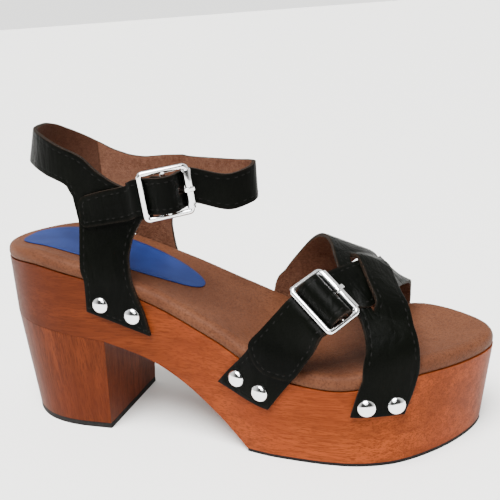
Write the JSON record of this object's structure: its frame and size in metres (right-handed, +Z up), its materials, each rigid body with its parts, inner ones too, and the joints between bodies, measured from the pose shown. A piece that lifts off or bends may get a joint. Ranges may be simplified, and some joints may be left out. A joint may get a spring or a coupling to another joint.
{
  "type": "wooden platform sandal",
  "caption": "Right-foot platform sandal with a block-heeled wooden sole, a padded footbed, crossed black leather vamp straps and a buckled ankle strap.",
  "frame": {"origin": "on the heel lift's ground face under the heel, 31 mm ahead of the back of the sole", "axes": "+X towards the toe, +Y towards the inner side of the foot, +Z up from the floor"},
  "size_m": [0.245, 0.0999, 0.152],
  "materials": {
    "wood": "stained and oiled, satin",
    "footbed": "smooth brown leather over padding, soft sheen",
    "label": "plain blue, matt",
    "leather": "smooth black leather, brown lining",
    "rubber": "matt black",
    "metal": "polished"
  },
  "bodies": {
    "root": {"sole_board": "wood", "heel_block": "wood", "heel_lift": "rubber", "forefoot_outsole": "rubber", "footbed": "footbed", "sock_label": "label", "ankle_upper": "leather", "ankle_buckle_tab": "leather", "vamp_straps": "leather", "vamp_buckle_tab": "leather", "ankle_buckle_frame": "metal", "ankle_buckle_roller": "metal", "ankle_buckle_prong": "metal", "vamp_buckle_frame": "metal", "vamp_buckle_roller": "metal", "vamp_buckle_prong": "metal", "stud_ankle_outer_rear": "metal", "stud_ankle_outer_front": "metal", "stud_ankle_inner_rear": "metal", "stud_ankle_inner_front": "metal", "stud_tab_rear": "metal", "stud_tab_front": "metal", "stud_front_outer_rear": "metal", "stud_front_outer_front": "metal", "stud_long_inner_rear": "metal", "stud_long_inner_front": "metal", "stud_front_inner_rear": "metal", "stud_front_inner_front": "metal"}
  },
  "joints": []
}
